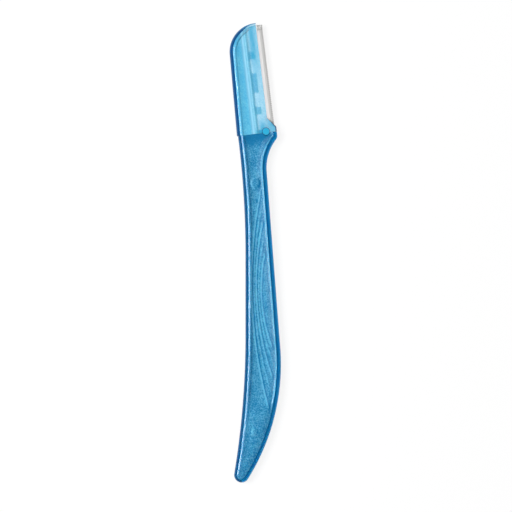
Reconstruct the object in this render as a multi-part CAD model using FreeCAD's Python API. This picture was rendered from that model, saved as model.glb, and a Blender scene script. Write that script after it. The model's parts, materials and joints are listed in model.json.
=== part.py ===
import FreeCAD, Part
import math
import os

# Eyebrow razor: a handle with a tang, a blade with a micro guard, and a sleeve that covers the head.
# Millimetres. The razor lies flat: X is its width, Y its length with the head at +Y, Z its thickness.
# Working zero is on the lower face, where the ridge of the head meets the handle's shoulder.
# The head is drawn upright in its own frame, t to the right and s upwards, and then leans over.

# Handle
handle_length = 115.2
handle_thickness = 4.2
rim_radius = 1.3
rim_share = 0.45
rim_width = 1.7
corner_margin = 0.3
panel_depth = 0.25
shoulder_reach = 6.42
grip_reach = 3.91
grip_start = 39.95
grip_length = 26.6
tip_reach = 5.15
tip_radius = 2.5
belly_reach = 7.86
belly_drop = 76.15
neck_reach = 3.12
flare_radius = 15.9
heel_height = 1.95

# Grip grooves, nested curves bowed towards the spine
groove_count = 5
groove_radius = 0.35
groove_depth = 0.12
groove_pitch = 0.8
groove_spread = 5.0
groove_waist_reach = 1.65
groove_waist_drop = 55.0
groove_half_length = 15.4
groove_end_inset = 2.5

# Round raised marks on the front panel
mark_height = 0.12
neck_mark_diameter = 3.9
neck_mark_reach = -0.55
neck_mark_drop = 16.35
tip_mark_diameter = 2.8
tip_mark_reach = -0.85
tip_mark_rise = 16.85

# Head cover
head_lean = 7.0
cover_length = 36.5
cover_spine_reach = 6.77
cover_spine_taper = 1.92
cover_edge_reach = 3.95
crown_radius = 9.5
cover_thickness = 4.0
cover_panel_depth = 0.2
blade_side_thickness = 2.9
ridge_ramp = 0.45
heel_reach = 6.53
heel_side = 1.7
heel_top = 4.6
heel_round = 1.0
cover_wall = 0.7
face_wall = 0.8
blade_side_wall = 0.7
lip_width = 0.7
tongue_radius = 1.25
tongue_reach = 2.95
tongue_rise = 0.4
tongue_proud = 0.2

# Blade, guard and lugs
blade_thickness = 0.25
blade_edge_reach = 5.86
blade_bottom = 1.2
bevel_length = 0.8
edge_land = 0.02
guard_thickness = 0.1
guard_leg = 1.1
guard_nose_gap = 0.04
tooth_pitch = 0.66
tooth_width = 0.36
tooth_root = 0.45
seat_step_reach = 0.6
lug_reach = 1.1
lug_centre = 16.85
lug_pitch = 9.2
end_lug_width = 1.9
end_lug_length = 2.3
middle_lug_width = 1.7
middle_lug_length = 6.3
lug_overhang = 0.25

# Fits
clearance = 0.1
window_clearance = 0.05

# Values that follow from the sizes above
middle = handle_thickness / 2
lean = math.radians(head_lean)
taper = math.tan(math.radians(cover_spine_taper))
deep_half = cover_thickness / 2 - cover_panel_depth - face_wall
shallow_half = blade_side_thickness / 2 - blade_side_wall
slot_half = blade_thickness / 2 + guard_thickness + clearance
blade_top = cover_length - cover_wall - clearance
corner_radius = rim_radius + corner_margin
tip_mark_drop = handle_length - tip_mark_rise
past = 5.0
far = 2 * cover_length


def point(x, y, z=0.0):
    return FreeCAD.Vector(x, y, z)


def head_point(t, s):
    """A point of the head's own frame, in X and Y."""
    return point(t * math.cos(lean) - s * math.sin(lean), t * math.sin(lean) + s * math.cos(lean))


def line(start, end):
    return Part.LineSegment(start, end).toShape()


def arc_about(centre, start, end):
    """The shorter arc from start to end about a centre."""
    bisector = (start - centre) + (end - centre)
    radius = (start - centre).Length
    return Part.Arc(start, centre + bisector * (radius / bisector.Length), end).toShape()


def rounded_wire(corners):
    """A closed wire through corners (x, y, radius), with a tangent arc where the radius is not 0."""
    edges = []
    ends = []
    for i, (x, y, radius) in enumerate(corners):
        here = point(x, y)
        back = (point(*corners[i - 1][:2]) - here).normalize()
        ahead = (point(*corners[(i + 1) % len(corners)][:2]) - here).normalize()
        if radius == 0:
            ends.append((here, here))
            continue
        half_angle = back.getAngle(ahead) / 2
        reach = radius / math.tan(half_angle)
        first = here + back * reach
        last = here + ahead * reach
        inward = (back + ahead).normalize()
        nearest = here + inward * (radius / math.sin(half_angle) - radius)
        edges.append(Part.Arc(first, nearest, last).toShape())
        ends.append((first, last))
    for i, (first, _) in enumerate(ends):
        edges.append(line(ends[i - 1][1], first))
    return Part.Wire(Part.__sortEdges__(edges))


def prism(wire, bottom, top):
    """A flat outline made solid between two heights."""
    solid = Part.Face(wire).extrude(point(0, 0, top - bottom))
    solid.translate(point(0, 0, bottom))
    return solid


def block(t_low, t_high, s_low, s_high, z_low, z_high):
    return Part.makeBox(t_high - t_low, s_high - s_low, z_high - z_low, point(t_low, s_low, z_low))


def lengthwise(section, s_low, s_high):
    """A closed section of (t, z) corners made solid along s."""
    corners = [point(t, s_low, z) for t, z in section]
    return Part.Face(Part.makePolygon(corners + corners[:1])).extrude(point(0, s_high - s_low, 0))


def both_faces(solid):
    """A solid and its mirror image across the middle plane."""
    return [solid, solid.mirror(point(0, 0, middle), point(0, 0, 1))]


def leaned(solid):
    """A solid of the head's frame, turned to where the head leans."""
    turned = solid.copy()
    turned.rotate(point(0, 0), point(0, 0, 1), head_lean)
    return turned


def handle_curves():
    """The circles and tangent points that the handle's outline is drawn from."""
    tip = point(-tip_reach, tip_radius - handle_length)
    grip_top = point(-grip_reach, -grip_start)
    grip_end = point(-grip_reach, -grip_start - grip_length)
    shoulder = head_point(-shoulder_reach, 0)

    # The spine's upper arc ends upright at the grip.
    run = grip_top - shoulder
    upper_radius = run.Length**2 / (2 * run.x)
    upper = grip_top - point(upper_radius, 0)

    # The spine's lower arc leaves the grip upright and meets the round of the tip.
    reach = tip - grip_end
    lower_radius = (reach.Length**2 - tip_radius**2) / (2 * (tip_radius - reach.x))
    lower = grip_end - point(lower_radius, 0)
    tip_left = tip + (lower - tip).normalize() * tip_radius

    # The belly's arc is upright at its widest point and runs into the round of the tip.
    widest = point(belly_reach, -belly_drop)
    reach = tip - widest
    belly_radius = (reach.Length**2 - tip_radius**2) / (-2 * (reach.x + tip_radius))
    belly = widest - point(belly_radius, 0)
    tip_right = tip + (tip - belly).normalize() * tip_radius

    # The flare passes through the heel's corner and is narrowest at the neck.
    corner = head_point(heel_reach, -heel_height)
    flare_x = neck_reach + flare_radius
    flare = point(flare_x, corner.y - math.sqrt(flare_radius**2 - (flare_x - corner.x) ** 2))

    # A straight edge touches the flare on one side and the belly on the other.
    between = flare - belly
    angle = math.atan2(between.y, between.x) - math.acos((belly_radius + flare_radius) / between.Length)
    outward = point(math.cos(angle), math.sin(angle))
    return {
        "tip": tip,
        "grip_top": grip_top,
        "grip_end": grip_end,
        "shoulder": shoulder,
        "upper": upper,
        "lower": lower,
        "tip_left": tip_left,
        "belly": belly,
        "belly_radius": belly_radius,
        "tip_right": tip_right,
        "belly_top": belly + outward * belly_radius,
        "flare": flare,
        "neck": flare - outward * flare_radius,
        "corner": corner,
    }


def handle_wire(rise):
    """The handle's outline, with its shoulder raised along the head by rise."""
    c = handle_curves()
    shoulder_left = head_point(-shoulder_reach, rise)
    shoulder_right = head_point(heel_reach, rise)
    edges = [
        arc_about(c["upper"], c["shoulder"], c["grip_top"]),
        line(c["grip_top"], c["grip_end"]),
        arc_about(c["lower"], c["grip_end"], c["tip_left"]),
        arc_about(c["tip"], c["tip_left"], c["tip_right"]),
        arc_about(c["belly"], c["tip_right"], c["belly_top"]),
        line(c["belly_top"], c["neck"]),
        arc_about(c["flare"], c["neck"], c["corner"]),
        line(c["corner"], shoulder_right),
        line(shoulder_right, shoulder_left),
    ]
    if rise:
        edges.append(line(shoulder_left, c["shoulder"]))
    return Part.Wire(Part.__sortEdges__(edges))


def blade_side_x(y):
    """The handle's edge on the blade side at a height between the neck and the tip."""
    c = handle_curves()
    if y < c["belly_top"].y:
        return c["belly"].x + math.sqrt(c["belly_radius"] ** 2 - (y - c["belly"].y) ** 2)
    share = (y - c["belly_top"].y) / (c["neck"].y - c["belly_top"].y)
    return c["belly_top"].x + share * (c["neck"].x - c["belly_top"].x)


def rim_edges(solid, low, high, on_rim):
    """The edges of the two faces whose middle point is on the rim."""
    found = []
    for edge in solid.Edges:
        flat = edge.BoundBox.ZLength < clearance
        at_face = min(abs(edge.BoundBox.ZMin - low), abs(edge.BoundBox.ZMin - high)) < clearance
        if flat and at_face and on_rim(edge.CenterOfMass):
            found.append(edge)
    return found


def handle_body():
    """The grip, with rounded rims."""
    body = prism(handle_wire(0), 0, handle_thickness)
    corner = handle_curves()["corner"] + point(0, 0, middle)
    uprights = [edge for edge in body.Edges if edge.CenterOfMass.distanceToPoint(corner) < clearance]
    body = body.makeFillet(corner_radius, uprights)
    along_head = head_point(0, 1)
    rims = rim_edges(body, 0, handle_thickness, lambda place: place.dot(along_head) < -clearance)
    return body.makeFillet(min(rim_radius, rim_share * handle_thickness), rims)


def panel():
    """The space above the recessed panel of the front face, open at the shoulder."""
    inset = Part.Face(handle_wire(rim_width + past)).makeOffset2D(-rim_width)
    recess = inset.extrude(point(0, 0, panel_depth + past))
    recess.translate(point(0, 0, handle_thickness - panel_depth))
    return recess


def groove(number):
    """One groove's cutter: a round bar bent to an arc, that dips into the panel, with ball ends."""
    height = handle_thickness - panel_depth + groove_radius - groove_depth
    y_upper = -groove_waist_drop + groove_half_length + number * groove_spread
    y_lower = -groove_waist_drop - groove_half_length - number * groove_spread
    upper = point(blade_side_x(y_upper) - groove_end_inset, y_upper, height)
    waist = point(groove_waist_reach - number * groove_pitch, -groove_waist_drop, height)
    lower = point(blade_side_x(y_lower) - groove_end_inset, y_lower, height)
    path = Part.Arc(upper, waist, lower)
    profile = Part.Wire(Part.Circle(upper, path.tangent(path.FirstParameter)[0], groove_radius).toShape())
    bar = Part.Wire(path.toShape()).makePipeShell([profile], True, False)
    balls = [Part.makeSphere(groove_radius, end) for end in (upper, lower)]
    return bar.fuse(balls)


def mark(diameter, reach, drop):
    """One round raised mark on the front panel."""
    base = handle_thickness - panel_depth - clearance
    return Part.makeCylinder(diameter / 2, mark_height + clearance, point(reach, -drop, base))


def notch():
    """The space in the front of the shoulder that takes the cover's tongue."""
    base = middle + shallow_half - clearance
    centre = point(tongue_reach, tongue_rise, base)
    return Part.makeCylinder(tongue_radius + clearance, handle_thickness, centre)


def head_room(inset, t_low, t_high, bottom, z_low, z_high):
    """A solid inside the head, set in from its spine and crown and kept between two values of t."""
    square = math.hypot(1, taper)
    top = cover_length - inset
    right = heel_reach + past

    def spine(s):
        return -cover_spine_reach + taper * s + inset * square

    plan = rounded_wire(
        [(spine(bottom), bottom, 0), (spine(top), top, crown() - inset), (right, top, 0), (right, bottom, 0)]
    )
    return prism(plan, z_low, z_high).common(block(t_low, t_high, bottom, cover_length, z_low, z_high))


def crown():
    """The round of the head's top, no larger than the head is wide."""
    width = cover_edge_reach + cover_spine_reach - taper * cover_length
    return min(crown_radius, width / (math.hypot(1, taper) - taper))


def lugs():
    """Middle places and sizes (s, width, length) of the three lugs' heads."""
    return [
        (lug_centre - lug_pitch, end_lug_width, end_lug_length),
        (lug_centre, middle_lug_width, middle_lug_length),
        (lug_centre + lug_pitch, end_lug_width, end_lug_length),
    ]


def lug_block(s, width, length, grow, z_low, z_high):
    return block(
        lug_reach - width / 2 - grow,
        lug_reach + width / 2 + grow,
        s - length / 2 - grow,
        s + length / 2 + grow,
        z_low,
        z_high,
    )


def tang():
    """The part of the handle inside the cover: a thick spine, a thin seat under the blade, and three lugs."""
    inset = cover_wall + clearance
    spine_half = deep_half - clearance
    seat_half = shallow_half - clearance
    seat_reach = cover_edge_reach - lip_width - clearance
    blade_face = middle - blade_thickness / 2
    spine = head_room(inset, -far, -seat_step_reach, -heel_height, middle - spine_half, middle + spine_half)
    seat = head_room(inset, -far, seat_reach, -heel_height, middle - seat_half, blade_face)
    pieces = [seat]
    low = middle - seat_half
    high = middle + seat_half
    for s, width, length in lugs():
        shank = lug_block(s, width, length, -lug_overhang - window_clearance, low, high)
        head = lug_block(s, width, length, 0, middle + blade_thickness / 2, high)
        pieces += [shank, head]
    return spine.fuse(pieces).removeSplitter()


def handle():
    """The whole moulding: grip, panels, grooves, marks and tang."""
    shape = handle_body()
    shape = shape.cut(both_faces(panel()))
    cutters = []
    for number in range(groove_count):
        cutters += both_faces(groove(number))
    shape = shape.cut(cutters)
    shape = shape.cut([leaned(cutter) for cutter in both_faces(notch())])
    marks = [
        mark(neck_mark_diameter, neck_mark_reach, neck_mark_drop),
        mark(tip_mark_diameter, tip_mark_reach, tip_mark_drop),
    ]
    return shape.fuse(marks + [leaned(tang())]).removeSplitter()


def blade():
    """A strip with a ground edge, three windows and a corner that follows the crown."""
    half = blade_thickness / 2
    back = -seat_step_reach + window_clearance
    bevel = blade_edge_reach - bevel_length
    section = [
        (back, middle - half),
        (bevel, middle - half),
        (blade_edge_reach, middle - edge_land / 2),
        (blade_edge_reach, middle + edge_land / 2),
        (bevel, middle + half),
        (back, middle + half),
    ]
    strip = lengthwise(section, blade_bottom, blade_top)
    room = head_room(cover_wall + clearance, -far, far, 0, 0, handle_thickness)
    windows = [lug_block(*lug, -lug_overhang, 0, handle_thickness) for lug in lugs()]
    return leaned(strip.common(room).cut(windows))


def micro_guard():
    """A thin sheet folded over the edge, with gaps that leave teeth."""
    half = blade_thickness / 2
    outer_half = half + guard_thickness
    back = blade_edge_reach - guard_leg
    nose = blade_edge_reach + guard_nose_gap
    section = [
        (back, middle - outer_half),
        (nose + guard_thickness, middle - outer_half),
        (nose + guard_thickness, middle + outer_half),
        (back, middle + outer_half),
        (back, middle + half),
        (nose, middle + half),
        (nose, middle - half),
        (back, middle - half),
    ]
    channel = lengthwise(section, blade_bottom, blade_top)
    gap = tooth_pitch - tooth_width
    root = blade_edge_reach - tooth_root
    count = int((blade_top - blade_bottom - tooth_width) / tooth_pitch)
    margin = (blade_top - blade_bottom - count * tooth_pitch - tooth_width) / 2
    gaps = []
    for number in range(count):
        start = blade_bottom + margin + tooth_width + number * tooth_pitch
        gaps.append(block(root, nose + past, start, start + gap, 0, handle_thickness))
    return leaned(channel.cut(gaps))


def cover_blank():
    """The cover's outside before its faces are lowered, with the rims of spine and crown rounded."""
    bottom = clearance
    corners = [
        (-cover_spine_reach + taper * bottom, bottom, 0),
        (-cover_spine_reach + taper * cover_length, cover_length, crown()),
        (cover_edge_reach, cover_length, 0),
        (cover_edge_reach, heel_top, heel_round),
        (heel_reach, heel_side, heel_round),
        (heel_reach, bottom, 0),
    ]
    low = middle - cover_thickness / 2
    high = middle + cover_thickness / 2
    blank = prism(rounded_wire(corners), low, high)

    def on_rim(place):
        along_spine = place.x < 0 and place.y > bottom + clearance
        return along_spine or place.y > cover_length - clearance

    rims = rim_edges(blank, low, high, on_rim)
    return blank.makeFillet(min(rim_radius, rim_share * cover_thickness), rims)


def cover_face_cuts():
    """What is taken off the front face: the panel inside the rim and the lower blade side."""
    face = cover_thickness / 2 - cover_panel_depth
    blade_face = blade_side_thickness / 2
    panel_space = head_room(rim_width, -far, ridge_ramp, -past, middle + face, middle + cover_thickness)
    step = [
        (0, middle + face),
        (ridge_ramp, middle + blade_face),
        (heel_reach + past, middle + blade_face),
        (heel_reach + past, middle + cover_thickness),
        (0, middle + cover_thickness),
    ]
    return [panel_space, lengthwise(step, -past, cover_length + past)]


def head_cover():
    """A sleeve with a closed spine and crown, open at the blade side and below."""
    shape = cover_blank()
    for cut in cover_face_cuts():
        shape = shape.cut(both_faces(cut))
    split = -seat_step_reach + clearance
    lip = cover_edge_reach - lip_width
    deep = head_room(cover_wall, -far, split, -past, middle - deep_half, middle + deep_half)
    shallow = head_room(cover_wall, -far, lip, -past, middle - shallow_half, middle + shallow_half)
    slot = head_room(cover_wall, -far, far, -past, middle - slot_half, middle + slot_half)
    shape = shape.cut([deep, shallow, slot])
    tongue_height = blade_side_wall + tongue_proud
    tongue = Part.makeCylinder(
        tongue_radius, tongue_height, point(tongue_reach, tongue_rise, middle + shallow_half)
    )
    return leaned(shape.fuse(both_faces(tongue)).removeSplitter())


def main():
    parts = {
        "handle": handle(),
        "blade": blade(),
        "micro_guard": micro_guard(),
        "head_cover": head_cover(),
    }
    box = Part.makeCompound(list(parts.values())).optimalBoundingBox(False)
    home = point(-box.Center.x, -box.Center.y, -box.ZMin)
    os.makedirs("parts", exist_ok=True)
    for name, shape in parts.items():
        shape.translate(home)
        print(name, shape.isValid(), len(shape.Solids), round(shape.Volume, 3), shape.BoundBox)
        shape.exportStep(f"parts/{name}.step")
    print("working zero is at", home)


main()
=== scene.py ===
import json
import math

import bmesh
import bpy
import numpy as np
from mathutils import Matrix, Vector
from mathutils.kdtree import KDTree


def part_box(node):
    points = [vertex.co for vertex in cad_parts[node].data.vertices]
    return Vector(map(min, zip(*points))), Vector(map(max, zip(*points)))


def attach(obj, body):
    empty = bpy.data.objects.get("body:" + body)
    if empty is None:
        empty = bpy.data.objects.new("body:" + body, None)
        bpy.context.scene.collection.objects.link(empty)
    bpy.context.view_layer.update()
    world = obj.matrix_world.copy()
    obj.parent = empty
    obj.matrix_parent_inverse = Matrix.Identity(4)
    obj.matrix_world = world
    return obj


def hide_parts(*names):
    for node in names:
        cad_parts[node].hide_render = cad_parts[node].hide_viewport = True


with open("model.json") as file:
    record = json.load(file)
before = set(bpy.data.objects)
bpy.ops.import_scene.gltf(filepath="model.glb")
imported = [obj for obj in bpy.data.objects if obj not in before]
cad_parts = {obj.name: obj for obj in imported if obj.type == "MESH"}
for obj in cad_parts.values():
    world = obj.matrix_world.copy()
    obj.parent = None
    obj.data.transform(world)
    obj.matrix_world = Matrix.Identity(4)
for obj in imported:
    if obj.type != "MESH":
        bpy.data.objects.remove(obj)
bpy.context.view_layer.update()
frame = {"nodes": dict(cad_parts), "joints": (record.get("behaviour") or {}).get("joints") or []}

# Sizes are in millimetres, in the razor's drawing: zero is where the head's ridge meets the shoulder.
mm = 0.001

# Handle outline
handle_length = 115.2
shoulder_reach = 6.42
grip_reach = 3.91
grip_start = 39.95
grip_length = 26.6
tip_reach = 5.15
tip_radius = 2.5
belly_reach = 7.86
belly_drop = 76.15
neck_reach = 3.12
flare_radius = 15.9
heel_height = 1.95
heel_corner_radius = 1.6

# Handle rim and panel
spine_rim_radius = 1.82
blade_rim_radius = 1.5
tip_rim_radius = 1.5
tip_start_share = 0.9
spine_slope_width = 0.6
blade_slope_width = 0.55
corner_squeeze = 0.78
corner_core = 0.5
corner_stretch = 3.0
panel_depth = 0.25
panel_dish = 0.15
panel_fade_start = 85.0
panel_fade_end = 93.0

# Widths of the clear, dark bands along the rims, and how strong a painted glow their outer edges get
spine_band = 1.0
blade_band = 1.4
cover_band = 1.2
heel_band = 0.45
ring_band = 0.15
crown_band_thinning = 0.7
heel_glow = 0.3
ring_glow = 0.3

# Grip grooves
groove_count = 5
groove_pitch = 0.8
groove_spread = 5.0
groove_waist_reach = 1.65
groove_waist_drop = 55.0
groove_half_length = 15.4
groove_end_inset = 2.5
groove_width = 0.42
groove_depth = 0.03
groove_fade = 3.5
groove_between = 0.5
# Painted light and shade along the grooves: widths and strengths of their light and dark streaks and tips
streak_width = 0.45
glow_width = 1.5
glow_share = 0.15
streak_tip_width = 0.5
streak_tip_length = 1.6
# Painted highlight: a fine pale line inside the blade side's dark band
painted_edge_highlight_width = 0.3
painted_edge_highlight_strength = 1.5
painted_edge_highlight_fade = 2.0
# Painted shade: the handle darker just below the cover's edge
neck_shade = 6.0
neck_shade_strength = 0.8

# Raised marks: reach, drop, diameter, height
tip_mark_rise = 16.85
marks = [(-0.55, 16.35, 3.9, 0.16), (-0.85, handle_length - tip_mark_rise, 2.8, 0.06)]
mark_edge = 1.0

# Head cover
cover_bottom = 0.1
cover_length = 36.5
cover_spine_reach = 6.77
cover_spine_taper = math.tan(math.radians(1.92))
cover_edge_reach = 3.95
crown_radius = 9.5
cover_thickness = 4.0
cover_rim_radius = 1.95
crown_rim_thinning = 0.4
cover_slope_width = 0.5
cover_panel_depth = 0.2
cover_panel_dish = 0.18
blade_side_thickness = 2.9
ridge_start = -0.2
ridge_end = 0.9
heel_reach = 6.53
heel_side = 1.7
heel_top = 4.6
heel_round = 1.0
heel_rim_radius = 0.5
blade_side_rim_radius = 0.14
blade_side_rim_end = 0.96
blade_side_rim_flat = 0.2
cover_wall = 0.7
face_wall = 0.8
blade_side_wall = 0.7
lip_width = 0.7
slot_thickness = 0.65
seat_step_reach = 0.6
tongue_radius = 1.25
tongue_reach = 2.95
tongue_rise = 0.4
tongue_proud = 0.2
clearance = 0.1
past = 2.0
top_overrun = 3.0

# How much of the cover's light its walls take up, and where their dye is strong
least_opacity = 0.58
dye_opacity = 0.3
spine_half_opacity = 0.64
inner_wall_share = 0.3
ridge_opacity = 0.9
lip_clearness = 0.7
top_tint = 1.0
low_tint = 0.1
edge_fade = 0.5
heel_tint = 0.75
# Painted shade on the ridge's step down to the blade half
ridge_shade_tint = 0.4
# Painted highlight: where the pale band left of the ridge starts, peaks and ends
painted_highlight_start = -2.3
painted_highlight_middle = -1.0
painted_highlight_end = -0.1

# Where the cover's tones change: from and to, across the head or along it
blade_half_change = (ridge_start, 2 * ridge_end)
ridge_rise = (painted_highlight_end - 0.4, ridge_start + 0.3)
ridge_fall = (ridge_start + 0.5, 2 * ridge_end)
edge_change = (cover_edge_reach - 1.6, cover_edge_reach - 0.5)
lip_change = (cover_edge_reach - 0.2, cover_edge_reach - 0.02)
heel_change = (cover_edge_reach - 0.6, cover_edge_reach + 0.2)
heel_end = (heel_top - 0.3, heel_top + 0.5)
low_dye_end = (heel_side, heel_top + 1)
high_dye_start = (0.35 * cover_length, 0.85 * cover_length)
# Where the painted highlight line along the crown begins
crown_highlight_start = (0.5, 1)
tongue_change = (0.02, 0.1)

# Cross-hatched end of the guard
blade_edge_reach = 5.86
blade_top = 35.7
guard_half_thickness = 0.225
hatch_width = 1.8
hatch_length = 1.7
hatch_pitch = 0.45
hatch_plate = 0.02
hatch_rise = 0.05

# Pearl flakes and painted streaks of light and shade: sizes of flakes, clouds and swirls, and how much each
# counts
flake_size = 0.22
cloud_size = 0.5
swirl_size = 4.0
flake_share = 0.4
swirl_share = 0.5
streak_share = 0.5
streak_low = 0.6
streak_high = 1.5

# Plastic: where its clear bands and its painted edge glow begin, and how rough and clear it is
band_softness = 0.12
haze_start = 0.4
haze_share = 0.3
handle_haze = 2.6
cover_haze = 1.4
glow_start = 0.2
face_roughness = 0.5
rim_roughness = 0.2
rim_clearness = 0.3

# Steel: width and stretch of its scratches, and how much they change its tone and roughness
scratch_width = 0.06
scratch_stretch = 0.03
scratch_bright = 1.06
scratch_dark = 0.9
scratch_roughness = 0.12

# Colours
deep_blue = (0.001, 0.1, 0.26)
cover_blue = (0.0005, 0.07, 0.22)
painted_glow_blue = (0.005, 0.45, 1)
dye_blue = (0.03, 0.39, 0.63)
painted_highlight_blue = (0.25, 0.585, 0.77)
lug_shade_slate = (0.17, 0.2, 0.36)
handle_pale = (0.009, 0.19, 0.4)
handle_shine = (0.15, 0.52, 0.74)
cover_pale = (0.11, 0.56, 0.87)
cover_shine = (0.24, 0.8, 1)
blade_grey = (0.71, 0.69, 0.695)
guard_grey = (0.55, 0.55, 0.54)

# Studio: what the photograph's frame takes in, and the strengths of floor and surround
view_width = 169.4
view_middle = (0.25, -1.09)
lens = 120
sensor = 36
floor_reach = 3.0
floor_gap = 0.05
floor_glow = 0.88
floor_grey = 0.95
surround_strength = 0.2
zenith_strength = 0.1
zenith_start = 0.2

# Mesh steps
fine_step = 0.02
handle_rows = 380
handle_crowding = 0.8
cover_rows = 240
cover_crowding = 0.75
panel_columns = 64
cover_panel_columns = 40
ramp_columns = 12
blade_side_columns = 30
ramp_least_start = 0.15
ramp_least_end = 0.35
round_steps = 9
slope_steps = 6
room_point_step = 8
hatch_columns = 45
hatch_rows = 43
weld_distance = 1e-4
sliver_length = 1e-5
crease_angle = 40

# Where the drawing lies in the frame
handle_low, handle_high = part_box("handle")
handle_thickness = (handle_high.z - handle_low.z) / mm
middle = handle_thickness / 2
zero = Vector((handle_high.x / mm - belly_reach, handle_low.y / mm + handle_length))
slide = frame["joints"][0]["axis"]
lean = math.atan2(-slide[0], slide[1])
deep_half = cover_thickness / 2 - cover_panel_depth - face_wall
shallow_half = blade_side_thickness / 2 - blade_side_wall


def smooth(low, high, value):
    """0 at low, 1 at high, with a soft rise between."""
    share = np.clip((value - low) / (high - low), 0, 1)
    return share * share * (3 - 2 * share)


def head_point(t, s):
    """A point of the head, t across and s along it, in the drawing."""
    return Vector((t * math.cos(lean) - s * math.sin(lean), t * math.sin(lean) + s * math.cos(lean)))


def head_plan(t, s):
    """Arrays of t and s, as an array of points in the drawing."""
    return np.dstack([t * math.cos(lean) - s * math.sin(lean), t * math.sin(lean) + s * math.cos(lean)])


# Curves, as points that lie close together
def straight(start, end):
    """The straight run from start to end."""
    count = max(2, int((end - start).length / fine_step))
    return [start.lerp(end, k / count) for k in range(count)]


def arc(centre, start, end):
    """The shorter arc from start to end."""
    first = start - centre
    last = end - centre
    turn = math.atan2(first.x * last.y - first.y * last.x, first.dot(last))
    count = max(4, int(abs(turn) * first.length / fine_step))
    return [centre + Matrix.Rotation(turn * k / count, 2) @ first for k in range(count)]


def rounded(corners):
    """An open path through corners (x, y, radius)."""
    places = [Vector(corner[:2]) for corner in corners]
    points = []
    start = places[0]
    for i in range(1, len(corners) - 1):
        radius = corners[i][2]
        back = (places[i - 1] - places[i]).normalized()
        ahead = (places[i + 1] - places[i]).normalized()
        half = back.angle(ahead) / 2
        first = places[i] + back * (radius / math.tan(half))
        last = places[i] + ahead * (radius / math.tan(half))
        centre = places[i] + (back + ahead).normalized() * (radius / math.sin(half))
        points += straight(start, first) + arc(centre, first, last)
        start = last
    return points + straight(start, places[-1]) + [places[-1]]


def resample(points, shares, side):
    """Places at shares of a path's length, and unit vectors there that point into the outline."""
    path = np.array(points)
    steps = np.linalg.norm(np.diff(path, axis=0), axis=1)
    length = np.concatenate([[0], np.cumsum(steps)])
    along = np.gradient(path, length, axis=0)
    wanted = shares * length[-1]
    places = np.stack([np.interp(wanted, length, path[:, k]) for k in range(2)], axis=1)
    turned = (-along[:, 1], along[:, 0])
    inward = side * np.stack([np.interp(wanted, length, part) for part in turned], axis=1)
    return places, inward / np.linalg.norm(inward, axis=1)[:, None]


def row_shares(count, crowding):
    """Shares of a length, closer together at both ends."""
    even = np.linspace(0, 1, count + 1)
    return even - crowding * np.sin(2 * math.pi * even) / (2 * math.pi)


# Handle outline
def handle_outline():
    """The spine's path and the blade side's path, both from the shoulder to the lowest point of the tip."""
    tip = Vector((-tip_reach, tip_radius - handle_length))
    lowest = tip - Vector((0, tip_radius))
    grip_top = Vector((-grip_reach, -grip_start))
    grip_end = grip_top - Vector((0, grip_length))
    shoulder = head_point(-shoulder_reach, 0)

    run = grip_top - shoulder
    upper = grip_top - Vector((run.length_squared / (2 * run.x), 0))
    reach = tip - grip_end
    lower = grip_end - Vector(((reach.length_squared - tip_radius**2) / (2 * (tip_radius - reach.x)), 0))
    tip_left = tip + (lower - tip).normalized() * tip_radius
    spine = arc(upper, shoulder, grip_top) + straight(grip_top, grip_end)
    spine += arc(lower, grip_end, tip_left) + arc(tip, tip_left, lowest) + [lowest]

    widest = Vector((belly_reach, -belly_drop))
    reach = tip - widest
    belly_radius = (reach.length_squared - tip_radius**2) / (-2 * (reach.x + tip_radius))
    belly = widest - Vector((belly_radius, 0))
    tip_right = tip + (tip - belly).normalized() * tip_radius
    corner = head_point(heel_reach, -heel_height)
    flare_x = neck_reach + flare_radius
    flare = Vector((flare_x, corner.y - math.sqrt(flare_radius**2 - (flare_x - corner.x) ** 2)))
    between = flare - belly
    angle = math.atan2(between.y, between.x) - math.acos((belly_radius + flare_radius) / between.length)
    outward = Vector((math.cos(angle), math.sin(angle)))
    neck = flare - outward * flare_radius
    belly_top = belly + outward * belly_radius

    # The heel's corner is rounded by a circle inside the heel's side and outside the flare.
    side = head_point(1, 0)
    level = corner.dot(side) - heel_corner_radius
    from_flare = flare_radius + heel_corner_radius
    foot = side * level
    up = head_point(0, 1)
    across = (flare - foot).dot(side)
    rise = (flare - foot).dot(up) + math.sqrt(from_flare**2 - across**2)
    round_centre = foot + up * rise
    on_side = round_centre + side * heel_corner_radius
    on_flare = flare + (round_centre - flare).normalized() * flare_radius
    blade_side = straight(head_point(heel_reach, 0), on_side) + arc(round_centre, on_side, on_flare)
    blade_side += arc(flare, on_flare, neck) + straight(neck, belly_top)
    blade_side += arc(belly, belly_top, tip_right) + arc(tip, tip_right, lowest) + [lowest]
    return spine, blade_side


# Faces, as grids of rows from one outline to the other
def rim_rings(radius, width, depth):
    """Offsets from the outline and drops below the crest, for every row and ring of a rim."""
    turn = np.linspace(0, math.pi / 2, round_steps + 1)
    fall = np.linspace(0, 1, slope_steps + 1)[1:]
    offsets = [radius[:, None] * (1 - np.cos(turn)), radius[:, None] + width[:, None] * fall]
    drops = [radius[:, None] * (1 - np.sin(turn)), depth[:, None] * smooth(0, 1, fall)]
    return np.concatenate(offsets, axis=1), np.concatenate(drops, axis=1)


def grid_between(left, right, shares):
    """Rows of points from the innermost points of the left rings to those of the right rings."""
    start = left[:, -1:, :]
    end = right[:, -1:, :]
    inner = start + (end - start) * shares[..., None]
    return np.concatenate([left, inner, right[:, ::-1, :]], axis=1)


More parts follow.
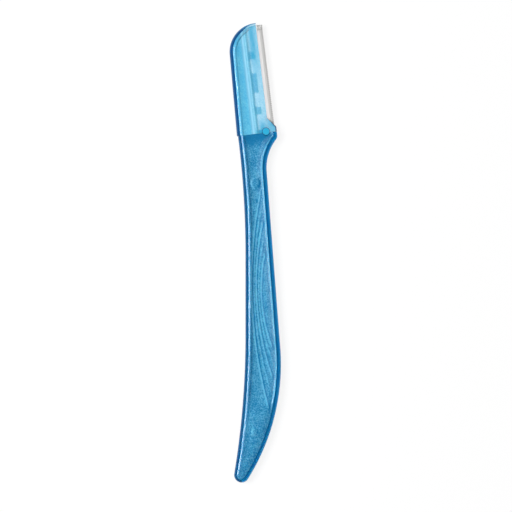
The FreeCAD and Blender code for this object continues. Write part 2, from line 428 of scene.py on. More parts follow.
def closed_mesh(name, plan, front, back, close_last):
    """A closed mesh from a plan of points with the heights of its front and its back."""
    rows, columns = front.shape
    count = rows * columns
    vertices = np.concatenate([np.dstack([plan, heights]).reshape(-1, 3) for heights in (front, back)])
    faces = []
    for r in range(rows - 1):
        for c in range(columns - 1):
            a = r * columns + c
            quad = (a, a + 1, a + columns + 1, a + columns)
            faces.append(quad)
            faces.append(tuple(count + v for v in reversed(quad)))
        left = r * columns
        right = left + columns - 1
        faces.append((left, left + columns, count + left + columns, count + left))
        faces.append((right, count + right, count + right + columns, right + columns))
    for c in range(columns - 1):
        faces.append((c, count + c, count + c + 1, c + 1))
        if close_last:
            a = (rows - 1) * columns + c
            faces.append((a, a + 1, count + a + 1, count + a))
    return new_piece(name, vertices, faces)


def new_piece(name, vertices, faces):
    """A mesh object, made in the drawing's millimetres and placed in the frame."""
    mesh = bpy.data.meshes.new(name)
    mesh.from_pydata([tuple(v) for v in vertices], [], faces)
    piece = bpy.data.objects.new(name, mesh)
    bpy.context.scene.collection.objects.link(piece)
    tidy(mesh)
    mesh.transform(Matrix.Scale(mm, 4) @ Matrix.Translation((zero.x, zero.y, 0)))
    return piece


def tidy(mesh):
    """Joins points that lie on each other, drops flat slivers and turns all faces outwards."""
    work = bmesh.new()
    work.from_mesh(mesh)
    bmesh.ops.remove_doubles(work, verts=work.verts, dist=weld_distance)
    bmesh.ops.dissolve_degenerate(work, edges=work.edges, dist=sliver_length)
    bmesh.ops.recalc_face_normals(work, faces=work.faces)
    work.to_mesh(mesh)
    work.free()


def cut(piece, tool, operation):
    """Cuts a tool out of a piece, or adds it."""
    modifier = piece.modifiers.new("cut", "BOOLEAN")
    modifier.object = tool
    modifier.operation = operation
    modifier.solver = "EXACT"
    graph = bpy.context.evaluated_depsgraph_get()
    mesh = bpy.data.meshes.new_from_object(piece.evaluated_get(graph))
    piece.modifiers.clear()
    old = piece.data
    piece.data = mesh
    mesh.name = old.name
    bpy.data.meshes.remove(old)
    bpy.data.objects.remove(tool)


def prism(name, outline, low, high):
    """A flat outline in the drawing made solid between two heights."""
    count = len(outline)
    vertices = [(p.x, p.y, z) for z in (low, high) for p in outline]
    sides = [(k, (k + 1) % count, count + (k + 1) % count, count + k) for k in range(count)]
    ends = [tuple(reversed(range(count))), tuple(range(count, 2 * count))]
    return new_piece(name, vertices, sides + ends)


def inset_ends(piece, width):
    """Adds an inner loop to the ends of a prism."""
    work = bmesh.new()
    work.from_mesh(piece.data)
    ends = [face for face in work.faces if len(face.verts) > 4]
    bmesh.ops.inset_individual(work, faces=ends, thickness=width * mm)
    work.to_mesh(piece.data)
    work.free()


def circle(centre, radius, count=64):
    """Points round a circle."""
    turns = [2 * math.pi * k / count for k in range(count)]
    return [centre + Vector((radius * math.cos(a), radius * math.sin(a))) for a in turns]


def shade_smooth(piece):
    """Smooth shading, apart from sharp edges."""
    piece.data.shade_smooth()
    work = bmesh.new()
    work.from_mesh(piece.data)
    for edge in work.edges:
        edge.smooth = len(edge.link_faces) == 2 and edge.calc_face_angle(0) < math.radians(crease_angle)
    work.to_mesh(piece.data)
    work.free()


def note_depth(piece, outlines):
    """Writes how far each point lies inside the dark bands of outlines (path, band width, glow), and the
    nearest outline's glow. Gives both back."""
    places = [place for path, _, _ in outlines for place in path]
    bands = np.concatenate([np.broadcast_to(band, len(path)) for path, band, _ in outlines])
    glows = np.concatenate([np.broadcast_to(glow, len(path)) for path, _, glow in outlines])
    tree = KDTree(len(places))
    for index, place in enumerate(places):
        tree.insert((place.x, place.y, 0), index)
    tree.balance()
    found = [tree.find((x, y, 0)) for x, y in zip(*drawing_points(piece))]
    depth = np.array([away - bands[index] for _, index, away in found])
    glow = np.array([glows[index] for _, index, _ in found])
    note(piece, "depth", depth)
    note(piece, "glow", glow)
    return depth, glow


def note(piece, name, values):
    """Writes a number for each point of a piece, for its material to read."""
    attribute = piece.data.attributes.new(name, "FLOAT", "POINT")
    attribute.data.foreach_set("value", values)


def note_skin(piece):
    """Marks all faces of a piece as outside ones, before other pieces are cut out of it."""
    attribute = piece.data.attributes.new("skin", "FLOAT", "FACE")
    attribute.data.foreach_set("value", [1.0] * len(piece.data.polygons))


def drawing_points(piece):
    """The points of a piece in the drawing, as arrays of x and y."""
    flat = np.zeros(len(piece.data.vertices) * 3)
    piece.data.vertices.foreach_get("co", flat)
    places = flat.reshape(-1, 3) / mm
    return places[:, 0] - zero.x, places[:, 1] - zero.y


def head_points(piece):
    """The points of a piece in the head's own directions, as arrays across and along it."""
    x, y = drawing_points(piece)
    return x * math.cos(lean) + y * math.sin(lean), y * math.cos(lean) - x * math.sin(lean)


# Handle
def blade_edge(blade_side):
    """A function that gives the blade side's x for a y."""
    path = np.array(blade_side)
    order = np.argsort(path[:, 1])
    return lambda height: float(np.interp(height, path[order, 1], path[order, 0]))


def groove_lines(x, y, edge):
    """For each grip groove, at points: its strength, the distance from its line, and its bright tips."""
    for number in range(groove_count):
        y_up = -groove_waist_drop + groove_half_length + number * groove_spread
        y_down = -groove_waist_drop - groove_half_length - number * groove_spread
        waist = Vector((groove_waist_reach - number * groove_pitch, -groove_waist_drop))
        top = Vector((edge(y_up) - groove_end_inset, y_up))
        bottom = Vector((edge(y_down) - groove_end_inset, y_down))
        centre, radius = circle_through(top, waist, bottom)
        ends = smooth(y_down - groove_fade / 2, y_down + groove_fade / 2, y)
        ends = ends * (1 - smooth(y_up - groove_fade / 2, y_up + groove_fade / 2, y))
        share = groove_between if number % 2 else 1
        tips = np.zeros_like(x)
        for end in (top, bottom):
            away = np.hypot((x - end.x) / streak_tip_width, (y - end.y) / streak_tip_length)
            tips = np.maximum(tips, 2 * (share - groove_between) * (1 - smooth(0, 1, away)))
        yield share * ends, np.hypot(x - centre.x, y - centre.y) - radius, tips


def groove_relief(x, y, edge):
    """Depth of the grip grooves."""
    depth = np.zeros_like(x)
    for share, away, _ in groove_lines(x, y, edge):
        depth += groove_depth * share * (1 - smooth(0, groove_width, np.abs(away)))
    return depth


def groove_painted_shading(x, y, edge):
    """Painted light and shade along the grooves: light on the spine's side of a groove, dark on the other.
    """
    streak = np.zeros_like(x)
    for share, away, tips in groove_lines(x, y, edge):
        streak += share * (1 - smooth(0, groove_width, np.abs(away + groove_width / 2))) + tips
        streak -= share * (1 - smooth(0, streak_width, np.abs(away - streak_width / 2)))
        streak -= glow_share * share * (1 - smooth(0, glow_width, np.abs(away)))
    return streak


def painted_edge_highlight(depth):
    """A fine line of painted highlight just inside a dark band."""
    return 1 - smooth(0, painted_edge_highlight_width, np.abs(depth - painted_edge_highlight_width))


def mark_painted_shading(x, y):
    """Painted light and shade round the round marks: light on the spine's side, dark on the other."""
    streak = np.zeros_like(x)
    for reach, drop, diameter, _ in marks:
        away = np.hypot(x - reach, y + drop)
        ring = 1 - smooth(0, mark_edge / 2, np.abs(away - diameter / 2 + mark_edge / 2))
        streak += ring * (x - reach) / (diameter / 2)
    return streak


def circle_through(a, b, c):
    """Centre and radius of the circle through three points."""
    ab = b - a
    ac = c - a
    cross = 2 * (ab.x * ac.y - ab.y * ac.x)
    x = (ac.y * ab.length_squared - ab.y * ac.length_squared) / cross
    y = (ab.x * ac.length_squared - ac.x * ab.length_squared) / cross
    return a + Vector((x, y)), math.hypot(x, y)


def mark_relief(x, y):
    """Height of the round marks at points of the panel."""
    height = np.zeros_like(x)
    for reach, drop, diameter, rise in marks:
        away = np.hypot(x - reach, y + drop)
        height += rise * (1 - smooth(diameter / 2 - mark_edge, diameter / 2, away))
    return height


def handle_body(spine, blade_side):
    """The grip: rounded rims, a dished panel on both faces, grooves and marks."""
    shares = row_shares(handle_rows, handle_crowding)
    left, left_in = resample(spine, shares, 1)
    right, right_in = resample(blade_side, shares, -1)
    left_in[-1] = right_in[-1] = (0, 1)
    to_tip = smooth(tip_start_share, 1, shares)
    corner = head_point(heel_reach, -heel_height)
    from_corner = np.hypot(right[:, 0] - corner.x, right[:, 1] - corner.y)
    squeeze = corner_squeeze + (1 - corner_squeeze) * smooth(corner_core, corner_stretch, from_corner)
    left_radius = spine_rim_radius + (tip_rim_radius - spine_rim_radius) * to_tip
    right_radius = (blade_rim_radius + (tip_rim_radius - blade_rim_radius) * to_tip) * squeeze
    left_width = spine_slope_width + (blade_slope_width - spine_slope_width) * to_tip
    right_width = np.full_like(shares, blade_slope_width)
    fade = 1 - smooth(panel_fade_start, panel_fade_end, -right[:, 1])
    depth = panel_depth * fade
    left_offsets, left_drops = rim_rings(left_radius, left_width, depth)
    right_offsets, right_drops = rim_rings(right_radius, right_width * squeeze, depth)
    left_rings = left[:, None, :] + left_in[:, None, :] * left_offsets[..., None]
    right_rings = right[:, None, :] + right_in[:, None, :] * right_offsets[..., None]
    across = np.linspace(0, 1, panel_columns + 1)[1:-1]
    plan = grid_between(left_rings, right_rings, np.tile(across, (len(shares), 1)))

    inner = plan[:, left_rings.shape[1] : -right_rings.shape[1], :]
    x = inner[..., 0]
    y = inner[..., 1]
    dish = depth[:, None] + fade[:, None] * panel_dish * (1 - (2 * across - 1) ** 2)
    relief = groove_relief(x, y, blade_edge(blade_side))
    back_drops = np.concatenate([left_drops, dish + relief, right_drops[:, ::-1]], axis=1)
    front_inner = dish + relief - mark_relief(x, y)
    front_drops = np.concatenate([left_drops, front_inner, right_drops[:, ::-1]], axis=1)
    return closed_mesh("handle_moulding", plan, handle_thickness - front_drops, back_drops, False)


def tang():
    """The part of the handle inside the cover, cut from the solid at the shoulder."""
    work = bmesh.new()
    work.from_mesh(frame["nodes"]["handle"].data)
    bmesh.ops.remove_doubles(work, verts=work.verts, dist=1e-7)
    shoulder = (zero + head_point(0, fine_step)) * mm
    along = head_point(0, 1)
    everything = work.verts[:] + work.edges[:] + work.faces[:]
    cut_result = bmesh.ops.bisect_plane(
        work,
        geom=everything,
        plane_co=(shoulder.x, shoulder.y, 0),
        plane_no=(along.x, along.y, 0),
        clear_inner=True,
    )
    rim = [item for item in cut_result["geom_cut"] if isinstance(item, bmesh.types.BMEdge)]
    bmesh.ops.triangle_fill(work, use_beauty=True, edges=rim)
    bmesh.ops.recalc_face_normals(work, faces=work.faces)
    mesh = bpy.data.meshes.new("tang")
    work.to_mesh(mesh)
    work.free()
    return mesh


def join_mesh(piece, mesh):
    """Adds a mesh to a piece, as a loose part of it."""
    work = bmesh.new()
    work.from_mesh(piece.data)
    work.from_mesh(mesh)
    work.to_mesh(piece.data)
    work.free()
    bpy.data.meshes.remove(mesh)


def note_lugs(piece):
    """Marks the heads of the lugs, which stand above the blade, for their painted shade."""
    across, along = head_points(piece)
    heights = np.array([vertex.co.z for vertex in piece.data.vertices])
    heads = (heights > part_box("blade")[1].z) & (across > 0) & (along > 0)
    note(piece, "lug", heads.astype(float))


def handle():
    """The whole moulding, with what its material reads."""
    spine, blade_side = handle_outline()
    piece = handle_body(spine, blade_side)
    base = shallow_half - clearance
    centre = head_point(tongue_reach, tongue_rise)
    for low, high in ((middle + base, 2 * handle_thickness), (-handle_thickness, middle - base)):
        notch = prism("notch", circle(centre, tongue_radius + clearance), low, high)
        cut(piece, notch, "DIFFERENCE")
    join_mesh(piece, tang())
    # The blade side's rim gets the painted glow, the spine's does not.
    depth, glow = note_depth(piece, [(spine, spine_band, 0.0), (blade_side, blade_band, 1.0)])
    note_lugs(piece)
    x, y = drawing_points(piece)
    # Painted shade just below the cover's edge
    neck = 1 - smooth(0, neck_shade, -head_points(piece)[1])
    # Painted highlight: a fine pale line inside the blade side's band, fading out towards the tip
    line = glow * painted_edge_highlight(depth) * (1 - smooth(panel_fade_start - painted_edge_highlight_fade, panel_fade_end, -y))
    # Painted light and shade along the grooves and round the marks
    streak = groove_painted_shading(x, y, blade_edge(blade_side)) + mark_painted_shading(x, y)
    note(piece, "streak", streak + neck_shade_strength * neck - painted_edge_highlight_strength * line)
    shade_smooth(piece)
    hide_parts("handle")
    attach(piece, "razor")
    return piece


# Head cover
def to_drawing(path):
    """A path of the head, as points of the drawing."""
    return [head_point(place.x, place.y) for place in path]


def spine_t(s, inset=0.0):
    """The spine's t at a height s, set in by some distance."""
    return -cover_spine_reach + cover_spine_taper * s + inset * math.hypot(1, cover_spine_taper)


def spine_path(inset, bottom, end_t):
    """The spine and the crown, from the bottom to a point on the top edge."""
    top = cover_length - inset
    first = (spine_t(bottom, inset), bottom, 0)
    crown = (spine_t(top, inset), top, crown_radius - inset)
    return rounded([first, crown, (end_t, top, 0)])


def cover_outline():
    """The spine's path over the crown, and the blade side's path, both from the bottom up."""
    spine = spine_path(0, cover_bottom, cover_edge_reach)
    inner_top = cover_length - cover_rim_radius - cover_slope_width
    blade_side = rounded(
        [
            (heel_reach, cover_bottom, 0),
            (heel_reach, heel_side, heel_round),
            (cover_edge_reach, heel_top, heel_round),
            (cover_edge_reach, inner_top, 0),
        ]
    )
    return spine, blade_side


def crown_share(t):
    """0 along the spine, 1 where the crown ends on the blade's side."""
    return smooth(crown_radius / 2 - cover_spine_reach, cover_edge_reach - 1, t)


def cover_drop(t, s):
    """How far the cover's face lies below its crest, inside the rim."""
    left = spine_t(s) + cover_rim_radius + cover_slope_width
    across = np.clip((t - left) / -left, 0, 1)
    panel = cover_panel_depth + cover_panel_dish * (1 - (2 * across - 1) ** 2)
    low = (cover_thickness - blade_side_thickness) / 2
    ridge = smooth(ridge_start, ridge_end, t)
    return panel * (1 - ridge) + low * ridge


def columns_between(start, end, count):
    """For each row, even places from just past start to end."""
    return start[:, None] + (end - start)[:, None] * np.linspace(0, 1, count + 1)[1:]


def cover_body(spine, blade_side):
    """The cover's outside: rim, dished panel, ridge and the lower blade side."""
    shares = row_shares(cover_rows, cover_crowding)
    left, left_in = resample(spine, shares, -1)
    right, right_in = resample(blade_side, shares, 1)
    radius = cover_rim_radius * (1 - crown_rim_thinning * crown_share(left[:, 0]))
    width = np.full_like(shares, cover_slope_width)
    heel = 1 - smooth(heel_side, heel_top, right[:, 1])
    right_radius = blade_side_rim_radius + (heel_rim_radius - blade_side_rim_radius) * heel
    right_radius *= 1 - smooth(blade_side_rim_end, 1, shares)
    left_offsets, left_drops = rim_rings(radius, width, radius * 0)
    right_width = right_radius * blade_side_rim_flat
    right_offsets, right_drops = rim_rings(right_radius, right_width, right_radius * 0)
    left_rings = left[:, None, :] + left_in[:, None, :] * left_offsets[..., None]
    right_rings = right[:, None, :] + right_in[:, None, :] * right_offsets[..., None]
    start = left_rings[:, -1, 0]
    end = right_rings[:, -1, 0]
    ramp_start = np.maximum(ridge_start, start + ramp_least_start * (end - start))
    ramp_end = np.maximum(ridge_end, start + ramp_least_end * (end - start))
    columns = [
        columns_between(start, ramp_start, cover_panel_columns),
        columns_between(ramp_start, ramp_end, ramp_columns),
        columns_between(ramp_end, end, blade_side_columns),
    ]
    t = np.concatenate(columns, axis=1)[:, :-1]
    span = np.where(np.abs(end - start) > 1e-6, end - start, 1)
    plan = grid_between(left_rings, right_rings, (t - start[:, None]) / span[:, None])

    faces = cover_drop(plan[..., 0], plan[..., 1])
    rings = left_rings.shape[1]
    slope = np.ones(rings)
    slope[: round_steps + 1] = 0
    slope[round_steps + 1 :] = smooth(0, 1, np.linspace(0, 1, slope_steps + 1)[1:])
    drops = faces.copy()
    lower = smooth(ridge_start - 1, ridge_end + 2, plan[:, :rings, 0])
    drops[:, :rings] = left_drops + faces[:, :rings] * np.maximum(slope, lower)
    drops[:, -right_rings.shape[1] :] += right_drops[:, ::-1]
    high = middle + cover_thickness / 2 - drops
    low = middle - cover_thickness / 2 + drops
    return closed_mesh("head_cover_moulding", head_plan(plan[..., 0], plan[..., 1]), high, low, True)


def room(t_high, half):
    """The space inside the cover up to some t, and to both sides of the middle."""
    path = spine_path(cover_wall, -past, cover_edge_reach + top_overrun)
    inside = [place for place in path if place.x < t_high - fine_step][::room_point_step]
    inside.append(Vector((t_high, inside[-1].y)))
    inside.append(Vector((t_high, -past)))
    return prism("room", to_drawing(inside), middle - half, middle + half)


def note_walls(piece, depth, glow):
    """Writes where the cover's dye is strong, where its pale band of painted highlight runs, and how much
    its walls hide.
    """
    across, along = head_points(piece)
    blade_half = smooth(*blade_half_change, across)
    ridge = smooth(*ridge_rise, across) * (1 - smooth(*ridge_fall, across))
    above_heel = smooth(*heel_end, along)
    heel = smooth(*heel_change, across) * (1 - above_heel)
    lip = smooth(*lip_change, across) * above_heel
    # Painted highlight: a fine pale line inside the crown's band towards the blade's side
    line = smooth(*crown_highlight_start, glow) * painted_edge_highlight(depth)
    past_tongue = np.hypot(across - tongue_reach, along - tongue_rise) - tongue_radius
    tongue = 1 - smooth(*tongue_change, past_tongue)

    dyed_end = np.maximum(1 - smooth(*low_dye_end, along), smooth(*high_dye_start, along))
    tint = low_tint + (top_tint - low_tint) * dyed_end
    tint = tint * (1 - edge_fade * smooth(*edge_change, across)) * (1 - line)
    # The ridge gets stronger dye as painted shade.
    tint = np.maximum(tint * blade_half * (1 - heel), np.maximum(ridge_shade_tint * ridge, heel_tint * heel))
    # Painted highlight: the pale band left of the ridge
    pale = smooth(painted_highlight_start, painted_highlight_middle, across) * (1 - smooth(painted_highlight_middle, painted_highlight_end, across))
    pale = np.maximum(pale, line)
    opacity = (least_opacity + dye_opacity * tint) * blade_half + spine_half_opacity * (1 - blade_half)
    opacity = np.maximum(opacity, ridge_opacity * np.maximum(ridge, pale)) * (1 - lip_clearness * lip)
    note(piece, "tint", np.maximum(tint, tongue))
    note(piece, "pale", pale)
    note(piece, "opacity", np.maximum(opacity, tongue))


def head_cover():
    """The sleeve with its hollow and its tongues, with what its material reads."""
    spine, blade_side = cover_outline()
    piece = cover_body(spine, blade_side)
    note_skin(piece)
    cut(piece, room(clearance - seat_step_reach, deep_half), "DIFFERENCE")
    cut(piece, room(cover_edge_reach - lip_width, shallow_half), "DIFFERENCE")
    cut(piece, room(heel_reach + past, slot_thickness / 2), "DIFFERENCE")
    centre = head_point(tongue_reach, tongue_rise)
    top = blade_side_thickness / 2 + tongue_proud
    for low, high in ((middle + shallow_half, middle + top), (middle - top, middle - shallow_half)):
        disc = prism("tongue", circle(centre, tongue_radius), low, high)
        inset_ends(disc, 2 * ring_band)
        note_skin(disc)
        cut(piece, disc, "UNION")
    crown = crown_share(np.array([place.x for place in spine]))
    heel = [place for place in blade_side if place.y < heel_top]
    slant = smooth(heel_side, heel_top, np.array([place.y for place in heel]))
    # The crown's end, the heel and the tongue's ring get a painted glow at their outer edges.
    outlines = [
        (to_drawing(spine), cover_band * (1 - crown_band_thinning * crown), crown),
        (to_drawing(heel), heel_band * (1 - slant), heel_glow),
        (circle(centre, tongue_radius), ring_band, ring_glow),
    ]
    note_walls(piece, *note_depth(piece, outlines))
    shade_smooth(piece)
    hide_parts("head_cover")
    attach(piece, "cover")
    return piece


# Guard
def guard_end(name, side):
    """The cross-hatched end that folds over one face of the blade: side is 1 in front and -1 behind."""
    columns = np.linspace(-hatch_width, 0, hatch_columns + 1)
    rows = np.linspace(-hatch_length, 0, hatch_rows + 1)
    t, s = np.meshgrid(columns, rows)
    wires = [np.cos(math.pi * (t + turn * s) / hatch_pitch) ** 4 for turn in (1, -1)]
    low = np.full_like(t, middle + side * guard_half_thickness)
    high = low + side * (hatch_plate + hatch_rise * np.maximum(*wires))
    piece = closed_mesh(name, head_plan(t + blade_edge_reach, s + blade_top), high, low, True)
    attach(piece, "razor")
    return piece


# Materials
class Nodes:
    """A material's node tree, with short ways to add and link nodes."""

    def __init__(self, name):
        self.material = bpy.data.materials.new(name)
        self.material.use_nodes = True
        self.tree = self.material.node_tree
        self.shader = self.tree.nodes["Principled BSDF"]

    def put(self, socket, value):
        """Links a socket to an output, or sets its value."""
        if isinstance(value, bpy.types.NodeSocket):
            self.tree.links.new(value, socket)
        else:
            socket.default_value = value

    def fill(self, node, inputs):
        """Puts values on a node's inputs by name."""
        for name, value in inputs.items():
            self.put(node.inputs[name.replace("_", " ")], value)

    def add(self, kind, **inputs):
        """A new node with values on its inputs."""
        node = self.tree.nodes.new(kind)
        self.fill(node, inputs)
        return node

    def math(self, operation, *values):
        """A sum, product or like result of values."""
        node = self.tree.nodes.new("ShaderNodeMath")
        node.operation = operation
        for socket, value in zip(node.inputs, values):
            self.put(socket, value)
        return node.outputs[0]

    def mix(self, share, first, second):
        """A colour between two colours, which are inputs 6 and 7 of the node."""
        node = self.tree.nodes.new("ShaderNodeMix")
        node.data_type = "RGBA"
        self.put(node.inputs[0], share)
        for socket, colour in ((node.inputs[6], first), (node.inputs[7], second)):
            self.put(socket, (*colour, 1) if isinstance(colour, tuple) else colour)
        return node.outputs[2]

    def ramp(self, value, low, high):
        """0 at low, 1 at high, with a soft rise between."""
        node = self.add("ShaderNodeMapRange", Value=value, From_Min=low, From_Max=high)
        node.interpolation_type = "SMOOTHSTEP"
        return node.outputs["Result"]

    def place(self):
        """Where a point lies in the frame."""
        return self.add("ShaderNodeTexCoord").outputs["Object"]

    def noise(self, size, detail):
        """Smooth noise with blotches of a size in millimetres."""
        node = self.add("ShaderNodeTexNoise", Vector=self.place(), Scale=1 / (size * mm), Detail=detail)
        return node.outputs[0]

    def cells(self, size):
        """Cells of a size in millimetres, each with its own random grey."""
        node = self.add("ShaderNodeTexVoronoi", Vector=self.place(), Scale=1 / (size * mm))
        return self.add("ShaderNodeSeparateColor", Color=node.outputs["Color"]).outputs["Red"]

    def attribute(self, name):
        """A number that was noted on the mesh."""
        node = self.tree.nodes.new("ShaderNodeAttribute")
        node.attribute_name = name
        return node.outputs["Fac"]


def pearl_plastic(name, deep, glow, pale, shine, haze):
    """Dyed plastic with pearl flakes along its faces, and painted light and shade where streaks are noted.
    Its rims are clear and show the dye alone, with a painted glow towards the outer edge where a glow is
    noted.
    """
    n = Nodes(name)
    swirl = n.noise(swirl_size, 3.0)
    flake = n.cells(flake_size)
    cloud = n.noise(cloud_size, 3.0)
    light = n.math("MULTIPLY_ADD", swirl, swirl_share, cloud)
    light = n.math("MULTIPLY_ADD", flake, flake_share, light)
    # The noted streaks paint light and shade into the pearl's colour.
    light = n.math("MULTIPLY_ADD", n.attribute("streak"), -streak_share, light)
    face = n.mix(n.ramp(light, streak_low, streak_high), pale, shine)
    depth = n.attribute("depth")
    rim = n.ramp(depth, band_softness, -band_softness)
    dyed = n.math("MAXIMUM", rim, n.math("MULTIPLY", n.ramp(depth, haze, haze_start), haze_share))
    # Painted glow: a glowing rim's dye turns lighter towards its outer edge.
    glowing = n.math("MULTIPLY", n.attribute("glow"), n.ramp(depth, glow_start, -blade_band))
    dye = n.mix(glowing, deep, glow)
    leaving = n.add("ShaderNodeNewGeometry").outputs["Backfacing"]
    clear = n.math("MAXIMUM", dyed, leaving)
    grain = n.math("MULTIPLY", flake, n.math("SUBTRACT", 1.0, rim))
    bump = n.add("ShaderNodeBump", Height=grain, Strength=0.15, Distance=0.02 * mm)
    n.colour = n.mix(dyed, face, dye)
    n.base = n.mix(leaving, n.colour, deep)
    n.leaving = leaving
    n.rim = rim
    n.fill(
        n.shader,
        {
            "Base Color": n.base,
            "Metallic": 0.1,
            "Roughness": n.math("MULTIPLY_ADD", clear, rim_roughness - face_roughness, face_roughness),
            "IOR": 1.25,
            "Specular IOR Level": 0.0,
            "Transmission Weight": n.math("MULTIPLY", clear, rim_clearness),
            "Subsurface Weight": 0.8,
            "Subsurface Scale": 2.5 * mm,
            "Subsurface Radius": (0.3, 0.8, 1.0),
            "Coat Weight": 0.45,
            "Coat Roughness": 0.05,
            "Normal": bump.outputs[0],
        },
    )
    return n


def lugged_pearl_plastic(name, deep, glow, pale, shine, haze, lug):
    """The same plastic with a duller colour on the heads of the lugs, as painted shade under the cover."""
    n = pearl_plastic(name, deep, glow, pale, shine, haze)
    n.fill(n.shader, {"Base Color": n.mix(n.attribute("lug"), n.base, lug)})
    return n


def clear_pearl_plastic(name, deep, glow, pale, shine, haze, band, dye):
    """The same plastic in walls thin enough to see through, counted once where a ray enters them, with a
    painted highlight in a paler blue where noted.
    """
    n = pearl_plastic(name, deep, glow, pale, shine, haze)
    inside = n.math("SUBTRACT", 1.0, n.rim)
    # Painted highlight: the pale band and the crown's fine line are painted in a paler blue.
    colour = n.mix(n.math("MULTIPLY", n.attribute("pale"), inside), n.colour, band)
    colour = n.mix(n.math("MULTIPLY", n.attribute("tint"), inside), colour, dye)
    wall = n.math("MAXIMUM", n.attribute("skin"), inner_wall_share)
    entering = n.math("MULTIPLY", wall, n.math("SUBTRACT", 1.0, n.leaving))
    n.fill(
        n.shader,
        {
            "Base Color": colour,
            "Alpha": n.math("MULTIPLY", n.math("MAXIMUM", n.attribute("opacity"), n.rim), entering),
            "Transmission Weight": n.math("MULTIPLY", n.rim, rim_clearness),
            "Subsurface Weight": 0.0,
        },
    )
    return n


def brushed_steel(name, colour, roughness):
    """Steel with fine scratches along the head."""
    n = Nodes(name)
    turn = n.add("ShaderNodeMapping", Vector=n.place())
    turn.inputs["Rotation"].default_value = (0, 0, -lean)
    turn.inputs["Scale"].default_value = (1, scratch_stretch, 1)
    noise = n.add("ShaderNodeTexNoise", Vector=turn.outputs[0], Scale=1 / (scratch_width * mm), Detail=2.0)
    lines = noise.outputs[0]
    bright = tuple(min(1, c * scratch_bright) for c in colour)
    dark = tuple(c * scratch_dark for c in colour)
    bump = n.add("ShaderNodeBump", Height=lines, Strength=0.08, Distance=0.01 * mm)
    rough = n.math("MULTIPLY_ADD", lines, scratch_roughness, roughness - scratch_roughness / 2)
    n.fill(
        n.shader,
        {
            "Base Color": n.mix(lines, dark, bright),
            "Metallic": 1.0,
            "Roughness": rough,
            "Normal": bump.outputs[0],
        },
    )
    return n.material


def wear(piece, material):
    """Gives a piece one material."""
    piece.data.materials.clear()
    piece.data.materials.append(material)


# Studio
def floor():
    """A white floor that shows white to the camera, and keeps the razor's soft shadow."""
    mesh = bpy.data.meshes.new("floor")
    corners = [(x * floor_reach, y * floor_reach, 0) for x, y in ((-1, -1), (1, -1), (1, 1), (-1, 1))]
    mesh.from_pydata(corners, [], [(0, 1, 2, 3)])
    piece = bpy.data.objects.new("floor", mesh)
    piece.location.z = -floor_gap * mm
    bpy.context.scene.collection.objects.link(piece)
    n = Nodes("floor_white")
    path = n.add("ShaderNodeLightPath")
    seen = n.math("MAXIMUM", path.outputs["Is Camera Ray"], path.outputs["Is Glossy Ray"])
    seen = n.math("MAXIMUM", seen, path.outputs["Is Transmission Ray"])
    white = n.add("ShaderNodeEmission", Color=(1, 1, 1, 1), Strength=1.0)
    matt = n.add("ShaderNodeBsdfDiffuse", Color=(floor_grey, floor_grey, floor_grey, 1))
    mix = n.tree.nodes.new("ShaderNodeMixShader")
    n.tree.links.new(n.math("MULTIPLY", seen, floor_glow), mix.inputs[0])
    n.tree.links.new(matt.outputs[0], mix.inputs[1])
    n.tree.links.new(white.outputs[0], mix.inputs[2])
    n.tree.links.new(mix.outputs[0], n.tree.nodes["Material Output"].inputs["Surface"])
    n.tree.nodes.remove(n.shader)
    wear(piece, n.material)


def softbox(name, place, size, power):
    """A rectangular lamp that faces the razor. Place and size are in metres, power in watts."""
    lamp = bpy.data.lights.new(name, "AREA")
    lamp.shape = "RECTANGLE"
    lamp.size = size[0]
    lamp.size_y = size[1]
    lamp.energy = power
    piece = bpy.data.objects.new(name, lamp)
    piece.location = place
    piece.rotation_euler = Vector(place).to_track_quat("Z", "X").to_euler()
    bpy.context.scene.collection.objects.link(piece)


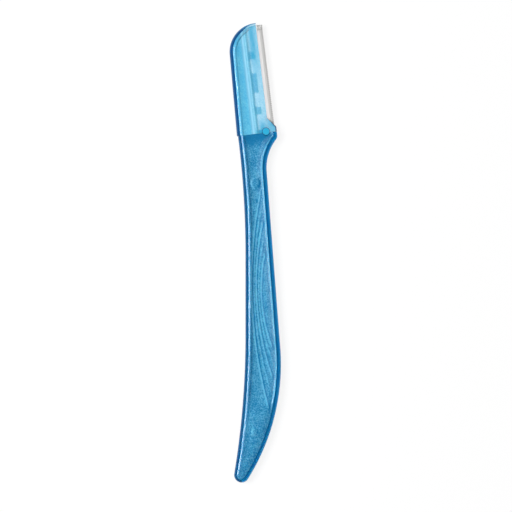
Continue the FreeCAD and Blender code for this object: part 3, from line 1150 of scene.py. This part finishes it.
def sky():
    """A dim surround, dimmest overhead."""
    world = bpy.data.worlds.new("studio")
    bpy.context.scene.world = world
    world.use_nodes = True
    tree = world.node_tree
    coordinate = tree.nodes.new("ShaderNodeTexCoord")
    split = tree.nodes.new("ShaderNodeSeparateXYZ")
    tree.links.new(coordinate.outputs["Generated"], split.inputs[0])
    rise = tree.nodes.new("ShaderNodeMapRange")
    rise.interpolation_type = "SMOOTHSTEP"
    rise.inputs["From Min"].default_value = zenith_start
    rise.inputs["From Max"].default_value = 1.0
    rise.inputs["To Min"].default_value = surround_strength
    rise.inputs["To Max"].default_value = zenith_strength
    tree.links.new(split.outputs["Z"], rise.inputs["Value"])
    tree.links.new(rise.outputs["Result"], tree.nodes["Background"].inputs["Strength"])
    tree.nodes["Background"].inputs["Color"].default_value = (1, 1, 1, 1)


def camera():
    """A long lens straight above, framed as the photograph is."""
    view = bpy.data.cameras.new("camera")
    view.lens = lens
    view.sensor_width = sensor
    distance = view_width * lens / sensor
    piece = bpy.data.objects.new("camera", view)
    piece.location = Vector((*view_middle, middle + distance)) * mm
    bpy.context.scene.collection.objects.link(piece)
    bpy.context.scene.camera = piece


bpy.context.scene.view_settings.view_transform = "Standard"
camera()
sky()
softbox("key", (-0.56, 0.04, 0.83), (0.44, 0.5), 2.5)
softbox("upper_key", (-0.56, 0.085, 0.83), (0.44, 0.4), 9.1)
softbox("sheen", (-0.2, 0.02, 0.98), (0.2, 0.8), 1.2)
floor()

handle_plastic = lugged_pearl_plastic(
    "handle_plastic", deep_blue, painted_glow_blue, handle_pale, handle_shine, handle_haze, lug_shade_slate
)
cover_plastic = clear_pearl_plastic(
    "cover_plastic", cover_blue, painted_glow_blue, cover_pale, cover_shine, cover_haze, painted_highlight_blue, dye_blue
)
guard_steel = brushed_steel("guard_steel", guard_grey, 0.4)
wear(handle(), handle_plastic.material)
wear(head_cover(), cover_plastic.material)
wear(frame["nodes"]["blade"], brushed_steel("blade_steel", blade_grey, 0.48))
wear(frame["nodes"]["micro_guard"], guard_steel)
wear(guard_end("guard_end_front", 1), guard_steel)
wear(guard_end("guard_end_back", -1), guard_steel)
